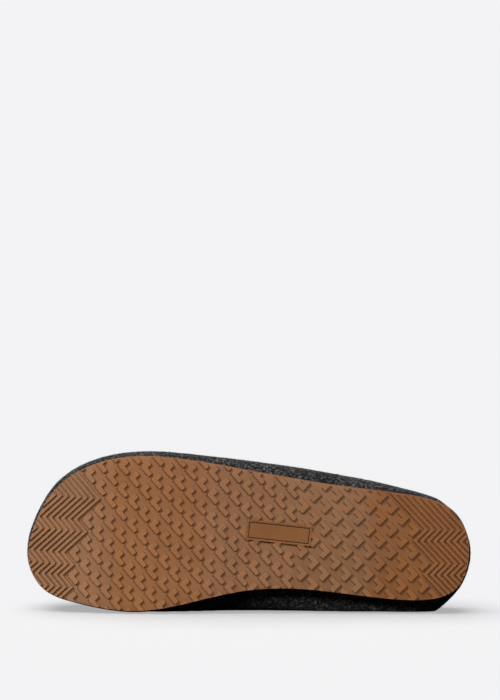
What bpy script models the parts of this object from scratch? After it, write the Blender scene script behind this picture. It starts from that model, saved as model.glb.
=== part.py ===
"""Left felt house slipper lying on its inner side: moulded rubber outsole, felt upper and insole.

Tables and sizes are in millimetres in the shoe's own frame: along runs from the heel to the toe, across is
positive to the outer side of the foot, height is measured up from the tread. The finished pieces are turned
onto the floor at the end, and every mesh is in metres.
"""

import math
from typing import NamedTuple

import bmesh
import bpy
import numpy as np
from mathutils import Matrix, Vector

MM = 0.001
NAME = "felt_slipper"

# Outsole
SOLE_THICK = 7.0
LUG_HEIGHT = 1.2
FLARE = 0.3  # the side wall leans out this far from the tread to the top edge
INNER_FLARE = 1.3  # and this far on the inner side
BORDER = 0.25  # plain ledge between the lugs and the side wall
SPRING_FROM = 176.0  # the sole lies flat up to here and then curls up to the toe
SPRING_RADIUS = 372.0
WAIST_FROM = 78.0  # the waist arches a little between heel and ball
WAIST_TO = 166.0
WAIST_LIFT = 0.8
STRIP = 11.0  # the sole is sliced this often, so that it can be bent
EDGE_POINTS = 96

# Tread
FORE_TIP = (178.76, 40.95)  # the outer corner of one forefoot lug
FORE_RIGHT = (-6.94, -7.24)  # steps of the grid, about 10 mm
FORE_LEFT = (7.09, -6.94)
FORE_LONG_LEG = 7.9
FORE_SHORT_LEG = 6.9
FORE_LEG_WIDTH = 3.3
HEEL_TIP = (31.4, 11.5)
HEEL_RIGHT = (-7.0, -6.74)
HEEL_LEFT = (6.73, -7.28)
HEEL_LONG_LEG = 7.6
HEEL_SHORT_LEG = 7.1
HEEL_LEG_WIDTH = 3.4
FORE_FROM = 106.6  # forefoot lugs in front of this, heel lugs behind it
RIB_PITCH = 4.04
RIB_WIDTH = 2.75
TOE_RIB_GAP = 2.6
HEEL_RIB_GAP = 2.4
RIB_COUNT = 12
SINK = 0.6  # lugs reach this far into the sole body

# Bare plate at the waist
PLATE_AT = (118.9, 5.1)
PLATE_LENGTH = 40.4
PLATE_WIDTH = 12.6
PLATE_TURN_DEG = 3.4
PLATE_RIM = 1.2
PLATE_GROOVE = 0.8
PLATE_GROOVE_DEPTH = 0.6
PLATE_BELOW_LUGS = 0.15

# Upper
FELT_THICK = 3.2
FEATHER_INSET = 0.8  # the felt stands this far inside the sole's top edge
CLEAR = 0.3  # neighbouring pieces stay this far apart
UPPER_COLUMNS = 88
UPPER_RINGS = 11
BELLY_LOW = 0.55
BELLY_HIGH = 1.25

# Insole
INSOLE_THICK = 3.5
INSOLE_INSET = 4.9

# How it lies: the floor meets the sole's inner edge at the ball and the felt behind it
LIE_TURN_DEG = 2.8
LIE_LEAN_DEG = 3.0


class SoleStation(NamedTuple):
    along: float
    inner: float
    outer: float


HEEL_END = (0.0, -2.5)
TOE_END = (276.2, -18.0)
SOLE = (
    SoleStation(5, 22.9, 16.5),
    SoleStation(16, 31.2, 26.9),
    SoleStation(40, 34.2, 32.6),
    SoleStation(85, 31.4, 36.4),
    SoleStation(110, 30.6, 39.2),
    SoleStation(135, 32.8, 42.3),
    SoleStation(160, 38.8, 45.8),
    SoleStation(185, 45.9, 48.3),
    SoleStation(207, 49.4, 48.4),
    SoleStation(230, 48.3, 44.2),
    SoleStation(250, 45.0, 34.6),
    SoleStation(265, 39.4, 18.7),
)


class UpperSection(NamedTuple):
    """A section of the upper: where it stands on the sole, where it ends at the collar, and its curve."""

    foot_along: float
    foot_across: float
    top_along: float
    top_across: float
    top_height: float
    rise: float  # how straight it starts upward, as a share of its height
    reach: float  # how flat it arrives at the collar, as a share of its run
    fall: float  # how far the arriving end still climbs, as a share of its height
    belly: float  # how far it bulges out low down


UPPER = (
    UpperSection(0, -2.5, 3, -3, 28, 0.33, 0.33, 0.33, 2.3),
    UpperSection(9, 21.3, 12.5, 17, 28, 0.33, 0.33, 0.33, 0.2),
    UpperSection(21, 29.2, 23.5, 26.2, 28.6, 0.33, 0.33, 0.33, 2.0),
    UpperSection(40, 33, 42, 31.5, 30, 0.33, 0.33, 0.33, 3.2),
    UpperSection(85, 37, 80, 34, 37, 0.35, 0.33, 0.33, 6.8),
    UpperSection(135, 43, 111, 29, 49, 0.42, 0.40, 0.35, 6.8),
    UpperSection(180, 48.5, 130, 20.5, 60, 0.45, 0.45, 0.32, 4.6),
    UpperSection(225, 45.5, 142, 10.5, 66.5, 0.48, 0.50, 0.28, 4.2),
    UpperSection(258, 27.5, 147, 3, 68.8, 0.55, 0.54, 0.25, 5.0),
    UpperSection(276.2, -18, 148.5, -4, 69.5, 0.60, 0.55, 0.25, 5.2),
    UpperSection(262, -41, 147, -11, 68.8, 0.60, 0.54, 0.25, 1.9),
    UpperSection(225, -48.8, 142, -18.5, 66.5, 0.58, 0.50, 0.28, 1.4),
    UpperSection(183, -45.5, 130, -29, 60, 0.52, 0.45, 0.32, 7.0),
    UpperSection(135, -32.8, 111, -38, 49, 0.42, 0.40, 0.35, 15.0),
    UpperSection(85, -31.4, 80, -40.5, 37, 0.35, 0.33, 0.33, 15.0),
    UpperSection(40, -34.2, 42, -38.5, 30, 0.33, 0.33, 0.33, 11.4),
    UpperSection(20, -32.3, 23, -33.5, 28.4, 0.33, 0.33, 0.33, 8.4),
    UpperSection(7.5, -25.8, 10.5, -25, 28, 0.33, 0.33, 0.33, 2.9),
)


class InsoleRoom(NamedTuple):
    along: float
    inner: float
    outer: float


# How much wider the insole is than its inset, where the upper leaves it room
INSOLE_ROOM = (
    InsoleRoom(0, 0.2, 0.2),
    InsoleRoom(8, 0.7, 0.2),
    InsoleRoom(16, 1.5, 0.3),
    InsoleRoom(30, 2.6, 1.6),
    InsoleRoom(50, 2.8, 1.7),
    InsoleRoom(132, 2.7, 1.6),
    InsoleRoom(150, 2.2, 1.2),
    InsoleRoom(170, 1.5, 0.9),
    InsoleRoom(185, 0.5, 0.7),
    InsoleRoom(200, 0, 0.6),
    InsoleRoom(276, 0, 0),
)


def closed_spline(points, even=False):
    """A smooth closed curve through these points, as a function of the running point number."""
    p = np.array(points, dtype=float)
    n = len(p)
    after = np.roll(p, -1, axis=0) - p
    step = np.ones(n) if even else np.sqrt(np.linalg.norm(after, axis=1))
    slope = after / step[:, None]
    matrix = np.zeros((n, n))
    for i in range(n):
        matrix[i, i - 1] += step[i - 1]
        matrix[i, i] += 2 * (step[i - 1] + step[i])
        matrix[i, (i + 1) % n] += step[i]
    bend = np.linalg.solve(matrix, 6 * (slope - np.roll(slope, 1, axis=0)))

    def at(number):
        i = int(math.floor(number)) % n
        t = number - math.floor(number)
        j = (i + 1) % n
        cubic = ((1 - t) ** 3 - (1 - t)) * bend[i] + (t**3 - t) * bend[j]
        return (1 - t) * p[i] + t * p[j] + cubic * step[i] ** 2 / 6

    return at


def sole_edge():
    """The sole's top edge as 720 evenly spaced points, from the heel end round the outer side to the toe."""
    outer = [(s.along, s.outer) for s in SOLE]
    inner = [(s.along, -s.inner) for s in reversed(SOLE)]
    corners = [HEEL_END, *outer, TOE_END, *inner]
    curve = closed_spline(corners)
    fine = np.array([curve(i / 60) for i in range(60 * len(corners) + 1)])
    length = np.concatenate(
        [[0], np.cumsum(np.linalg.norm(np.diff(fine, axis=0), axis=1))]
    )
    even = np.arange(720) / 720 * length[-1]
    return np.stack(
        [
            np.interp(even, length, fine[:, 0]),
            np.interp(even, length, fine[:, 1]),
        ],
        axis=1,
    )


EDGE = sole_edge()
EDGE_TANGENT = np.roll(EDGE, -1, axis=0) - np.roll(EDGE, 1, axis=0)
EDGE_TANGENT /= np.linalg.norm(EDGE_TANGENT, axis=1)[:, None]
# The edge runs clockwise seen from above, so outward is to the left of its run
EDGE_OUT = np.stack([-EDGE_TANGENT[:, 1], EDGE_TANGENT[:, 0]], axis=1)


def edge_value(table, share):
    """A value of the sole edge at this share of its way round."""
    place = (share % 1.0) * len(table)
    i = int(place) % len(table)
    t = place - int(place)
    return table[i] * (1 - t) + table[(i + 1) % len(table)] * t


def inset_edge(share, inset):
    """The sole edge at this share of its way round, moved inward."""
    return edge_value(EDGE, share) - inset * edge_value(EDGE_OUT, share)


def flare(share):
    """How far the side wall leans out at this share of the way round the sole."""
    inner_side = max(-float(edge_value(EDGE_OUT, share)[1]), 0.0)
    return FLARE + (INNER_FLARE - FLARE) * inner_side


def insole_room(share):
    """How much wider the insole is at this share of the way round the sole."""
    along = float(edge_value(EDGE, share)[0])
    places, inner, outer = zip(*INSOLE_ROOM)
    on_inner_side = edge_value(EDGE_OUT, share)[1] < 0
    return float(np.interp(along, places, inner if on_inner_side else outer))


def waist_lift(along):
    """How far the waist stands up above the flat of heel and ball."""
    if not WAIST_FROM < along < WAIST_TO:
        return 0.0
    share = (along - WAIST_FROM) / (WAIST_TO - WAIST_FROM)
    return WAIST_LIFT * (1 - math.cos(2 * math.pi * share)) / 2


def bent(along, across, height):
    """A point of the flat sole after the waist is arched and the toe curled up."""
    if along <= SPRING_FROM:
        return Vector((along, across, height + waist_lift(along)))
    angle = (along - SPRING_FROM) / SPRING_RADIUS
    radius = SPRING_RADIUS - height
    return Vector(
        (
            SPRING_FROM + radius * math.sin(angle),
            across,
            SPRING_RADIUS - radius * math.cos(angle),
        )
    )


def turned(point, degrees):
    angle = math.radians(degrees)
    c, s = math.cos(angle), math.sin(angle)
    return np.array([c * point[0] - s * point[1], s * point[0] + c * point[1]])


class Lattice:
    """The slanted grid that the lugs stand on, with its right side towards the heel."""

    def __init__(self, tip, right_step, left_step):
        self.tip = np.array(tip)
        self.right_step = np.array(right_step)
        self.left_step = np.array(left_step)
        self.right = self.right_step / np.linalg.norm(self.right_step)
        self.left = self.left_step / np.linalg.norm(self.left_step)
        between = self.left - self.right
        self.forward = between / np.linalg.norm(between)

    def at(self, right, left):
        return self.tip + right * self.right_step + left * self.left_step


FORE = Lattice(FORE_TIP, FORE_RIGHT, FORE_LEFT)
HEEL = Lattice(HEEL_TIP, HEEL_RIGHT, HEEL_LEFT)
# Zig-zag lines that end the lugs, as grid steps to the right and to the left
TOE_LINE_START = (-7, 5)
TOE_LINE = ((5, 0), (0, 2), (1, 0), (0, 2), (1, 0), (0, 1), (1, 0), (0, 4))
HEEL_LINE_START = (-5, 0)
HEEL_LINE = ((5, 0), (0, 1), (2, 0), (0, 1), (4, 0))


def zigzag(lattice, start, steps, forward_gap):
    """The corners of a zig-zag line on the grid."""
    right, left = start
    corners = [lattice.at(right, left)]
    for step_right, step_left in steps:
        right += step_right
        left += step_left
        corners.append(lattice.at(right, left))
    return [c + forward_gap * lattice.forward for c in corners]


def line_along(corners, across):
    """How far along a zig-zag line lies at this distance across."""
    order = sorted(corners, key=lambda c: c[1])
    return float(np.interp(across, [c[1] for c in order], [c[0] for c in order]))


def lug(tip, long_dir, short_dir, long_leg, short_leg, width):
    """The six corners of an angle lug."""
    spots = (
        (0, 0),
        (long_leg, 0),
        (long_leg, width),
        (width, width),
        (width, short_leg),
        (0, short_leg),
    )
    return [tip + a * long_dir + b * short_dir for a, b in spots]


def tread_outlines():
    """Plan outlines of all the lugs and ribs, before they are trimmed to the sole."""
    toe_line = zigzag(FORE, TOE_LINE_START, TOE_LINE, TOE_RIB_GAP)
    heel_line = zigzag(HEEL, HEEL_LINE_START, HEEL_LINE, -HEEL_RIB_GAP)
    outlines = []
    for right in range(-24, 25):
        for left in range(-24, 25):
            tip = FORE.at(right, left)
            middle = tip - 4 * FORE.forward
            ahead = line_along(toe_line, tip[1]) - tip[0]
            if middle[0] > FORE_FROM and ahead > 1.5 and near_sole(middle):
                outlines.append(
                    lug(
                        tip,
                        FORE.right,
                        -FORE.left,
                        FORE_LONG_LEG,
                        FORE_SHORT_LEG,
                        FORE_LEG_WIDTH,
                    )
                )
            tip = HEEL.at(right, left)
            middle = tip + 4 * HEEL.forward
            ahead = tip[0] - line_along(heel_line, tip[1])
            if middle[0] < FORE_FROM and ahead > 1.5 and near_sole(middle):
                outlines.append(
                    lug(
                        tip,
                        -HEEL.right,
                        HEEL.left,
                        HEEL_LONG_LEG,
                        HEEL_SHORT_LEG,
                        HEEL_LEG_WIDTH,
                    )
                )
    for line, lattice, sign in ((toe_line, FORE, 1), (heel_line, HEEL, -1)):
        for number in range(RIB_COUNT):
            near = sign * number * RIB_PITCH * lattice.forward
            far = near + sign * RIB_WIDTH * lattice.forward
            outlines.append([c + near for c in line] + [c + far for c in reversed(line)])
    return outlines


def near_sole(point):
    """Whether a lug with this middle can reach the sole."""
    inside = min(np.linalg.norm(EDGE - point, axis=1)) < 9
    return inside or in_outline(point)


def in_outline(point):
    after = np.roll(EDGE, -1, axis=0)
    crosses = (EDGE[:, 1] > point[1]) != (after[:, 1] > point[1])
    share = (point[1] - EDGE[:, 1]) / (after[:, 1] - EDGE[:, 1] + 1e-12)
    return bool(np.sum(crosses & (EDGE[:, 0] + share * (after[:, 0] - EDGE[:, 0]) > point[0])) % 2)


def prism(bm, outline, low, high):
    """An upright block on a plan outline."""
    corners = [bm.verts.new(Vector((c[0], c[1], low)) * MM) for c in outline]
    sides = [bm.edges.new((a, b)) for a, b in zip(corners, corners[1:] + corners[:1])]
    faces = bmesh.ops.edgeloop_fill(bm, edges=sides)["faces"]
    lifted = bmesh.ops.extrude_face_region(bm, geom=faces, use_keep_orig=True)
    top = [v for v in lifted["geom"] if isinstance(v, bmesh.types.BMVert)]
    bmesh.ops.translate(bm, verts=top, vec=Vector((0, 0, high - low)) * MM)


def loft(place, around, up):
    """A tube of quads whose points come from a function of the share round it and the share up it."""
    bm = bmesh.new()
    bmesh.ops.create_grid(bm, x_segments=around, y_segments=up, size=0.5)
    for v in bm.verts:
        v.co = place(v.co.x + 0.5, v.co.y + 0.5) * MM
    bmesh.ops.remove_doubles(bm, verts=bm.verts, dist=1e-6)
    return bm


def slab(levels, sliced, lean_at=flare):
    """A plate with the sole's outline, through levels given as (share of the lean, inset, height)."""

    def place(share, up):
        lean, inset, height = levels[round(up * (len(levels) - 1))]
        at = inset_edge(share, inset + lean * lean_at(share))
        return Vector((at[0], at[1], height))

    bm = loft(place, EDGE_POINTS, len(levels) - 1)
    bmesh.ops.holes_fill(bm, edges=[e for e in bm.edges if e.is_boundary], sides=0)
    if sliced:
        for along in np.arange(WAIST_FROM, TOE_END[0] - 4, STRIP):
            geometry = [*bm.verts, *bm.edges, *bm.faces]
            bmesh.ops.bisect_plane(
                bm,
                geom=geometry,
                dist=1e-7,
                plane_co=Vector((along, 0, 0)) * MM,
                plane_no=(1, 0, 0),
            )
    bmesh.ops.recalc_face_normals(bm, faces=bm.faces)
    return bm


def collection(name):
    made = bpy.data.collections.new(name)
    bpy.context.scene.collection.children.link(made)
    return made


def keep(bm, name, home):
    """Turns a bmesh into a named object."""
    mesh = bpy.data.meshes.new(name)
    bmesh.ops.recalc_face_normals(bm, faces=bm.faces)
    bm.to_mesh(mesh)
    bm.free()
    made = bpy.data.objects.new(name, mesh)
    home.objects.link(made)
    return made


def keep_tool(bm, name, home):
    made = keep(bm, name, home)
    made.hide_render = True
    made.display_type = "WIRE"
    return made


def join_shape(target, tool, operation):
    change = target.modifiers.new(tool.name, "BOOLEAN")
    change.operation = operation
    change.solver = "EXACT"
    change.use_self = True
    change.object = tool


def settle(target):
    """Replaces an object's mesh by its finished shape."""
    depsgraph = bpy.context.evaluated_depsgraph_get()
    mesh = bpy.data.meshes.new_from_object(target.evaluated_get(depsgraph))
    target.modifiers.clear()
    target.data = mesh


def bend_mesh(target):
    for v in target.data.vertices:
        v.co = bent(*(v.co / MM)) * MM


def material(target, name, color, roughness):
    made = bpy.data.materials.new(name)
    made.use_nodes = True
    shader = made.node_tree.nodes["Principled BSDF"]
    shader.inputs["Base Color"].default_value = (*color, 1.0)
    shader.inputs["Roughness"].default_value = roughness
    target.data.materials.clear()
    target.data.materials.append(made)


def plate_block(name, inset, low, high, tools):
    """An upright block with the plate's outline, drawn in by an inset."""
    half_length = PLATE_LENGTH / 2 - inset
    half_width = PLATE_WIDTH / 2 - inset
    corners = [
        np.array(PLATE_AT) + turned((a * half_length, b * half_width), PLATE_TURN_DEG)
        for a, b in ((1, 1), (-1, 1), (-1, -1), (1, -1))
    ]
    bm = bmesh.new()
    prism(bm, corners, low, high)
    return keep_tool(bm, name, tools)


def make_outsole(home, tools):
    body = [(1, 0, LUG_HEIGHT), (0, 0, SOLE_THICK)]
    outsole = keep(slab(body, sliced=True), "outsole", home)
    limit = [(1, BORDER, -1), (1, BORDER, LUG_HEIGHT + 2 * SINK)]
    tread_limit = keep_tool(slab(limit, sliced=False), "tread_limit", tools)
    bm = bmesh.new()
    for outline in tread_outlines():
        prism(bm, outline, 0, LUG_HEIGHT + SINK)
    tread = keep_tool(bm, "tread", tools)
    join_shape(tread, tread_limit, "INTERSECT")
    join_shape(outsole, tread, "UNION")
    face = PLATE_BELOW_LUGS
    plate = plate_block("plate", 0, face, LUG_HEIGHT + SINK / 2, tools)
    sunk = plate_block("plate_groove", PLATE_RIM, -1, face + PLATE_GROOVE_DEPTH, tools)
    panel = plate_block("plate_panel", PLATE_RIM + PLATE_GROOVE, face, LUG_HEIGHT, tools)
    join_shape(outsole, plate, "UNION")
    join_shape(outsole, sunk, "DIFFERENCE")
    join_shape(outsole, panel, "UNION")
    settle(outsole)
    bend_mesh(outsole)
    material(outsole, "gum_rubber", (0.25, 0.12, 0.055), 0.55)
    return outsole


def floor_plane():
    """The floor's upward direction in the shoe's frame, and its distance from the shoe's origin."""
    up = Vector(
        (
            math.tan(math.radians(LIE_TURN_DEG)),
            1,
            -math.tan(math.radians(LIE_LEAN_DEG)),
        )
    ).normalized()
    return up, min(up.dot(bent(p[0], p[1], SOLE_THICK)) for p in EDGE)


FLOOR_UP, FLOOR_AT = floor_plane()


def edge_share(along, across):
    """The share of the way round the sole edge that is nearest this point."""
    return int(np.argmin(np.linalg.norm(EDGE - np.array((along, across)), axis=1))) / len(EDGE)


def upper_place():
    """The function that places the felt's outer face."""
    count = len(UPPER)
    shares = [edge_share(r.foot_along, r.foot_across) for r in UPPER]
    shares[0] = 0.0
    lag = closed_spline([[s - i / count] for i, s in enumerate(shares)], even=True)
    tops = closed_spline([r[2:5] for r in UPPER], even=True)
    curves = closed_spline([r[5:9] for r in UPPER], even=True)

    def place(share, t):
        number = share * count % count
        foot_share = number / count + float(lag(number)[0])
        flat = inset_edge(foot_share, FEATHER_INSET)
        foot = bent(flat[0], flat[1], SOLE_THICK + CLEAR)
        top = Vector(tops(number))
        rise, reach, fall, belly = curves(number)
        s = 1 - t
        run = 3 * s * t * t * (1 - reach) + t**3
        climb = 3 * s * s * t * rise + 3 * s * t * t * (1 - fall) + t**3
        bulge = climb**BELLY_LOW * (1 - climb) ** BELLY_HIGH / bulge_peak()
        out = edge_value(EDGE_OUT, foot_share)
        out = Vector((out[0], out[1], 0)) * float(belly) * bulge
        point = foot + out
        point.x += run * (top.x - foot.x)
        point.y += run * (top.y - foot.y)
        point.z += climb * (top.z - foot.z)
        sunk = FLOOR_AT - FLOOR_UP.dot(point)
        return point + FLOOR_UP * max(sunk, 0.0)

    return place


def bulge_peak():
    widest = BELLY_LOW / (BELLY_LOW + BELLY_HIGH)
    return widest**BELLY_LOW * (1 - widest) ** BELLY_HIGH


def make_upper(home):
    bm = loft(upper_place(), UPPER_COLUMNS, UPPER_RINGS)
    upper = keep(bm, "upper", home)
    wall = upper.modifiers.new("felt", "SOLIDIFY")
    wall.thickness = FELT_THICK * MM
    wall.offset = -1
    wall.use_even_offset = True
    settle(upper)
    material(upper, "wool_felt", (0.02, 0.02, 0.021), 0.95)
    return upper


def make_insole(home):
    low = SOLE_THICK + CLEAR
    levels = [(-1, INSOLE_INSET, low), (-1, INSOLE_INSET, low + INSOLE_THICK)]
    insole = keep(slab(levels, sliced=True, lean_at=insole_room), "insole", home)
    bend_mesh(insole)
    material(insole, "footbed_felt", (0.05, 0.048, 0.045), 0.95)
    return insole


def lay_down(pieces):
    """Turns the shoe onto its inner side, toe to -X and sole to -Y, and centres it over the origin."""
    toe = Vector((1, 0, 0))
    toe = (toe - toe.dot(FLOOR_UP) * FLOOR_UP).normalized()
    turn = Matrix((-toe, FLOOR_UP.cross(-toe), FLOOR_UP)).to_4x4()
    for piece in pieces:
        piece.data.transform(turn)
    points = [v.co for piece in pieces for v in piece.data.vertices]
    middle_x = (min(p.x for p in points) + max(p.x for p in points)) / 2
    middle_y = (min(p.y for p in points) + max(p.y for p in points)) / 2
    move = Matrix.Translation((-middle_x, -middle_y, -FLOOR_AT * MM))
    for piece in pieces:
        piece.data.transform(move)


def main():
    for old in list(bpy.data.objects):
        bpy.data.objects.remove(old, do_unlink=True)
    home = collection(NAME)
    tools = collection("tools")
    lay_down([make_outsole(home, tools), make_upper(home), make_insole(home)])


main()
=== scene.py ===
"""Looks of a left felt house slipper that lies on its inner side, laid out as an add-on.

The tables and the sizes in the code are millimetres in the shoe's own frame, the same as in the
part: along runs from the heel to the toe, across is positive to the outer side of the foot, height is
measured up from the tread. A finished piece is bent, turned onto the floor and kept in metres.
"""

import math
from typing import NamedTuple

import bmesh
import bpy
import numpy as np
from mathutils import Matrix, Vector, noise


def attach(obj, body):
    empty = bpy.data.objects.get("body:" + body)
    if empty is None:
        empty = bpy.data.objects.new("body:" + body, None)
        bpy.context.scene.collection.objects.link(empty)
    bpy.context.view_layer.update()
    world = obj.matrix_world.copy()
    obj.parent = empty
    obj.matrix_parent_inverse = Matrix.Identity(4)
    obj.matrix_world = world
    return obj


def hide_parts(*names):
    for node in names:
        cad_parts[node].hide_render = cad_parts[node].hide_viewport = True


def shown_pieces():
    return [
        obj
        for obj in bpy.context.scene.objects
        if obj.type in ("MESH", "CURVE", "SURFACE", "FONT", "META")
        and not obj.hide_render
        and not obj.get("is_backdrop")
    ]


bl_info = {
    "name": "Felt slipper looks",
    "version": (1, 0, 0),
    "blender": (4, 5, 0),
    "location": "3D View > Sidebar > Slipper",
    "description": "Moulded outsole, felt upper, insole and studio stage for a house slipper",
    "category": "Add Mesh",
}

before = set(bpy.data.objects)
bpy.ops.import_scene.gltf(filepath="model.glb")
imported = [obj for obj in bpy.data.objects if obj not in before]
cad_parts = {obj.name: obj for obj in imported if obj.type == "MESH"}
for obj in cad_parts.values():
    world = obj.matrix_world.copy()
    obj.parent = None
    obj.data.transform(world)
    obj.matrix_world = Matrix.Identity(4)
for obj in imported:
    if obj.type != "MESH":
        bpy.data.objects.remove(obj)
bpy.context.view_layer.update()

MM = 0.001

# Sole, as in the part
SPRING_FROM = 176.0
SPRING_RADIUS = 372.0
WAIST_FROM = 78.0
WAIST_TO = 166.0
WAIST_LIFT = 0.8
FLARE = 0.3
INNER_FLARE = 1.3
BORDER = 0.25
SINK = 0.6  # lugs reach this far into the sole body
EDGE_SAMPLES = 720
SPLINE_STEPS = 60  # samples of the outline between two of its points

# Sole, finer than in the part
STRIP = 5.5  # it is sliced this often, so that it can be bent
SOLE_ENDS = 2.0  # the slices stop this far from the toe
SOLE_RIMS = (0.35, 0.45)  # rounding at the tread and at the top edge
EDGE_POINTS = 240

# Tread, as in the part
FORE_TIP = (178.76, 40.95)
FORE_RIGHT = (-6.94, -7.24)
FORE_LEFT = (7.09, -6.94)
FORE_LONG_LEG = 7.9
FORE_SHORT_LEG = 6.9
FORE_LEG_WIDTH = 3.3
HEEL_TIP = (31.4, 11.5)
HEEL_RIGHT = (-7.0, -6.74)
HEEL_LEFT = (6.73, -7.28)
HEEL_LONG_LEG = 7.6
HEEL_SHORT_LEG = 7.1
HEEL_LEG_WIDTH = 3.4
FORE_FROM = 106.6
RIB_PITCH = 4.04
RIB_WIDTH = 2.75
TOE_RIB_GAP = 2.6
HEEL_RIB_GAP = 2.4
RIB_COUNT = 12
GRID_REACH = 24  # grid steps that are tried on each side
LUG_MIDDLE = 4.0  # from a lug's tip to its middle
LUG_REACH = 9.0  # a lug whose middle is this near the edge can touch the sole
LUG_TO_RIB = 1.5  # least room in front of a lug's tip

# Moulded edges of the tread
LUG_FOOT = 0.15  # the sloped walls start this far above the ground
LUG_SLOPE = 0.14  # and lean in this far
LUG_EDGE = ((0.04, 0.16), (0.06, 0.10), (0.08, 0.04), (0.04, 0.0))  # inset and rise of each step
LUG_EDGE_RISE = 0.30  # of these steps together
FORE_ROUND = 0.8
HEEL_ROUND = 0.45
RIB_ROUND = 0.45
SQUARE_SLACK = 0.1  # a corner this little sharper than square is rounded too
MOAT_DEEP = 0.3
MOAT_WIDE = 0.95  # shallow moat beside the long leg of a forefoot lug
MOAT_BEFORE = 0.2  # which starts this far before the leg
MOAT_AFTER = 0.5  # and ends this far after it
HEEL_MOAT_WIDE = 1.4  # shallow moat in front of the first heel rib
MOAT_UNDER = 1.0  # both reach this far under the lug or rib
MOAT_ABOVE = 0.5  # their cutters start this far out of the ground
BORDER_ROOM = 0.3  # a lug further than this inside the border needs no trimming
PLATE_ROOM = 4.0  # nor does one further than this from the plate
PLATE_OVERLAP = 0.3  # trimmed lugs run this far under the plate's edge
CUT_SPARE = 1.0  # cutters reach this far past what they cut

# Bare plate at the waist, as in the part
PLATE_AT = (118.9, 5.1)
PLATE_LENGTH = 40.4
PLATE_WIDTH = 12.6
PLATE_TURN_DEG = 3.4

# Its moulded top and its colour
PLATE_TOP = 0.28
PLATE_SLACK = 0.01  # points this near the plate's edge are coloured with it
PLATE_STANDS = 0.6  # where they are lower than this share of the lugs' height
# Inset and rise of each step, from the plate's outer edge over its groove to its middle
PLATE_EDGE = (
    (0.10, 0.12),
    (0.12, 0.06),
    (0.10, 0.0),
    (0.82, 0.0),
    (0.08, -0.04),
    (0.10, -0.42),
    (0.44, 0.0),
    (0.10, 0.42),
    (0.08, 0.04),
    (0.20, 0.0),
)

# Upper, as in the part
FEATHER_INSET = 0.8
CLEAR = 0.3
BELLY_LOW = 0.55
BELLY_HIGH = 1.25

# Upper, finer than in the part
UPPER_COLUMNS = 320
UPPER_RINGS = 44
LUMP_SIZES = ((0.7, 0.035), (0.3, 0.12))  # share and fineness of the soft unevenness

# Insole
INSOLE_RIMS = (0.5, 1.0)  # rounding below and above
INSOLE_ENDS = 4.0  # the slices stop this far from heel and toe
INSOLE_FIBRES = 700.0  # in a metre

# Loose fibres of the felt, in metres
FUZZ_SEED = 11
FUZZ_BATCH = 150  # fibres that are made in one go
FUZZ_LIFT = (0.08, 0.6)  # least and greatest angle to the felt, in radians
FUZZ_SPREAD = (0.6, 1.5)  # least and greatest share of the mean length
FUZZ_OUT = 0.42  # share of the length from the felt to the fibre's middle
FUZZ_THICK = (0.000035, 0.000012)  # radius at the foot and at the tip
FUZZ_ABOVE = 0.0004  # fibres nearer the floor are left out

# Edges sharper than these angles stay sharp in the shading
RUBBER_SHARP_DEG = 38
FELT_SHARP_DEG = 60
INSOLE_SHARP_DEG = 40
RIM_SHARP_DEG = 55  # and the felt's cut edges over this one are rounded

# How it lies, as in the part
LIE_TURN_DEG = 2.8
LIE_LEAN_DEG = 3.0
LIE_MOVE = (0.13753299211, -0.03351008752, 0.03963970065)

# Where the photograph has the middle of the sole, and its scale there
SOLE_MIDDLE = (136.7, 0.0, 0.0)
PICTURE_MIDDLE = (250.0, 540.0)
PICTURE_SIZE = (500, 700)
PICTURE_SCALE = 1.61  # pixels in a millimetre
SENSOR = 36.0

# Stage, in metres
FLOOR_HALF = 200.0
LIGHT_FAR = 2.0
SEE_FAR = 1000.0


class SoleStation(NamedTuple):
    along: float
    inner: float
    outer: float


HEEL_END = (0.0, -2.5)
TOE_END = (276.2, -18.0)
SOLE = (
    SoleStation(5, 22.9, 16.5),
    SoleStation(16, 31.2, 26.9),
    SoleStation(40, 34.2, 32.6),
    SoleStation(85, 31.4, 36.4),
    SoleStation(110, 30.6, 39.2),
    SoleStation(135, 32.8, 42.3),
    SoleStation(160, 38.8, 45.8),
    SoleStation(185, 45.9, 48.3),
    SoleStation(207, 49.4, 48.4),
    SoleStation(230, 48.3, 44.2),
    SoleStation(250, 45.0, 34.6),
    SoleStation(265, 39.4, 18.7),
)


class UpperSection(NamedTuple):
    """A section of the upper: its foot on the sole, its end at the collar and its curve."""

    foot_along: float
    foot_across: float
    top_along: float
    top_across: float
    top_height: float
    rise: float  # how straight it starts upward, as a share of its height
    reach: float  # how flat it arrives at the collar, as a share of its run
    fall: float  # how far the arriving end still climbs, as a share of its height
    belly: float  # how far it bulges out low down


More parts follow.
